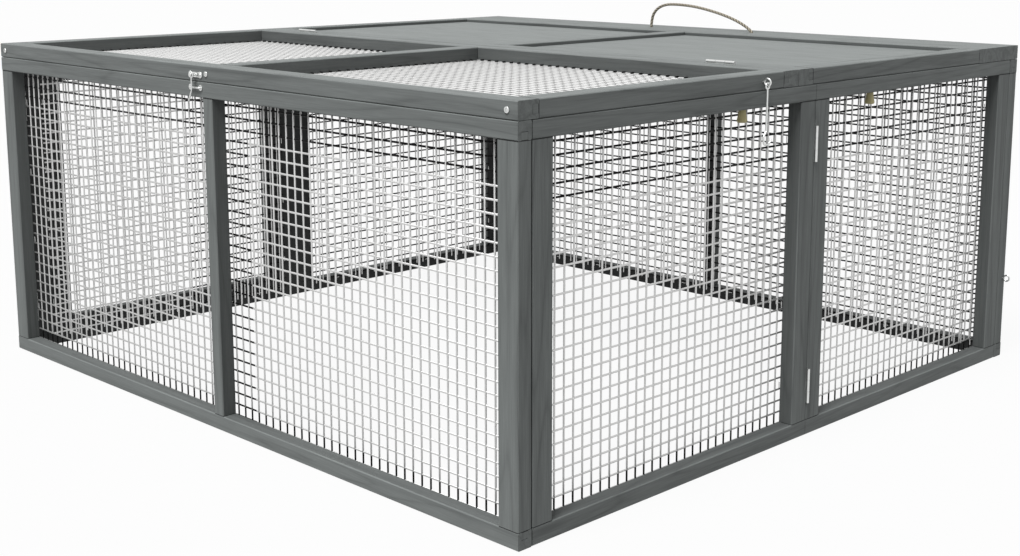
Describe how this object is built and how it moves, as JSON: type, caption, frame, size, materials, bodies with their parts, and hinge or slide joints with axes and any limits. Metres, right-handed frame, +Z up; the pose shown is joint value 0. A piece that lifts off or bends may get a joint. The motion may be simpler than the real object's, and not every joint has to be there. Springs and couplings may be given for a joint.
{
  "type": "folding rabbit cage",
  "caption": "Low bottomless pen of grey timber frames and welded wire, with inward-folding sides, a two-part lid that flips back, hook latches and a rope carrying handle",
  "frame": {"origin": "on the floor under the middle of the pen, centred between the outer faces of its walls", "axes": "+X along the wide front wall to the right as seen from the front, +Y from the front wall to the rear wall, +Z up"},
  "size_m": [1.124, 1.0492, 0.5174],
  "materials": {
    "painted_timber": "grey stain with fine grain, dull",
    "painted_board": "grey stain on a smooth board, dull",
    "welded_wire": "bright galvanised wire",
    "zinc_hardware": "bright zinc plate",
    "rope": "twisted rope, beige with dark strands",
    "stopper": "dull khaki"
  },
  "bodies": {
    "rear_wall": {"rear_wall_bottom_rail": "painted_timber", "rear_wall_top_rail": "painted_timber", "rear_wall_stiles": "painted_timber", "rear_wall_mesh": "welded_wire", "rear_wall_hinge_leaves": "zinc_hardware", "rear_wall_hinge_pins": "zinc_hardware", "rear_wall_screw_eyes": "zinc_hardware"},
    "front_wall": {"front_wall_bottom_rail": "painted_timber", "front_wall_top_rail": "painted_timber", "front_wall_stiles": "painted_timber", "front_wall_mesh": "welded_wire", "front_wall_hinge_leaves": "zinc_hardware", "front_wall_hinge_pins": "zinc_hardware", "latch_keeper": "zinc_hardware"},
    "right_rear_panel": {"right_rear_rails": "painted_timber", "right_rear_stiles": "painted_timber", "right_rear_mesh": "welded_wire", "right_rear_hinge_leaves": "zinc_hardware", "right_rear_cord_stopper": "stopper", "right_rear_seam_pins": "zinc_hardware"},
    "right_front_panel": {"right_front_rails": "painted_timber", "right_front_stiles": "painted_timber", "right_front_mesh": "welded_wire", "right_front_hinge_leaves": "zinc_hardware", "right_front_cord_stopper": "stopper"},
    "left_rear_panel": {"left_rear_rails": "painted_timber", "left_rear_stiles": "painted_timber", "left_rear_mesh": "welded_wire", "left_rear_hinge_leaves": "zinc_hardware", "left_rear_cord_stopper": "stopper", "left_rear_seam_pins": "zinc_hardware"},
    "left_front_panel": {"left_front_rails": "painted_timber", "left_front_stiles": "painted_timber", "left_front_mesh": "welded_wire", "left_front_hinge_leaves": "zinc_hardware", "left_front_cord_stopper": "stopper"},
    "lid_rear": {"lid_rear_seam_rail": "painted_timber", "lid_rear_handle_rail": "painted_timber", "lid_rear_side_rails": "painted_timber", "lid_rear_centre_rail": "painted_timber", "lid_rear_boards": "painted_board", "lid_rear_hinge_leaves": "zinc_hardware", "lid_rear_hinge_pins": "zinc_hardware", "rope_handle": "rope", "rope_knots": "rope"},
    "lid_front": {"lid_front_front_rail": "painted_timber", "lid_front_seam_rail": "painted_timber", "lid_front_side_rails": "painted_timber", "lid_front_centre_rail": "painted_timber", "lid_front_mesh": "welded_wire", "lid_front_hinge_leaves": "zinc_hardware", "lid_front_screws": "zinc_hardware", "lid_front_hook_eyes": "zinc_hardware", "latch_plate": "zinc_hardware"},
    "latch_arm": {"latch_arm": "zinc_hardware"},
    "right_hook": {"right_hook": "zinc_hardware"},
    "left_hook": {"left_hook": "zinc_hardware"}
  },
  "joints": [
    {"name": "fold", "type": "hinge", "parent": "rear_wall", "child": "right_rear_panel", "pos_m": [0.526, 0.49925, 0], "axis": [0, 0, -1], "range_deg": [0, 90]},
    {"name": "right_seam", "type": "hinge", "parent": "right_rear_panel", "child": "right_front_panel", "pos_m": [0.5523, 0, 0], "axis": [0, 0, 1], "range_deg": [0, 180]},
    {"name": "front_right_corner", "type": "hinge", "parent": "right_front_panel", "child": "front_wall", "pos_m": [0.526, -0.49925, 0], "axis": [0, 0, -1], "range_deg": [0, 90]},
    {"name": "rear_left_corner", "type": "hinge", "parent": "rear_wall", "child": "left_rear_panel", "pos_m": [-0.526, 0.49925, 0], "axis": [0, 0, 1], "range_deg": [0, 90]},
    {"name": "left_seam", "type": "hinge", "parent": "left_rear_panel", "child": "left_front_panel", "pos_m": [-0.5523, 0, 0], "axis": [0, 0, -1], "range_deg": [0, 180]},
    {"name": "lid_lift", "type": "slide", "parent": "rear_wall", "child": "lid_rear", "axis": [0, 0, 1], "range_m": [0, 0.15]},
    {"name": "lid_flip", "type": "hinge", "parent": "lid_rear", "child": "lid_front", "pos_m": [0, -0.039, 0.4748], "axis": [-1, 0, 0], "range_deg": [0, 180]},
    {"name": "latch_turn", "type": "hinge", "parent": "lid_front", "child": "latch_arm", "pos_m": [-0.0235, -0.5264, 0.4605], "axis": [0, 1, 0], "range_deg": [-110, 95]},
    {"name": "right_hook_swing", "type": "hinge", "parent": "lid_front", "child": "right_hook", "pos_m": [0.5565, -0.112, 0.45825], "axis": [1, 0, 0], "range_deg": [-120, 120]},
    {"name": "left_hook_swing", "type": "hinge", "parent": "lid_front", "child": "left_hook", "pos_m": [-0.5565, -0.112, 0.45825], "axis": [1, 0, 0], "range_deg": [-120, 120]}
  ],
  "couplings": [
    {"joint": "right_seam", "follows": "fold", "ratio": 2},
    {"joint": "front_right_corner", "follows": "fold", "ratio": 1},
    {"joint": "rear_left_corner", "follows": "fold", "ratio": 1},
    {"joint": "left_seam", "follows": "fold", "ratio": 2}
  ]
}
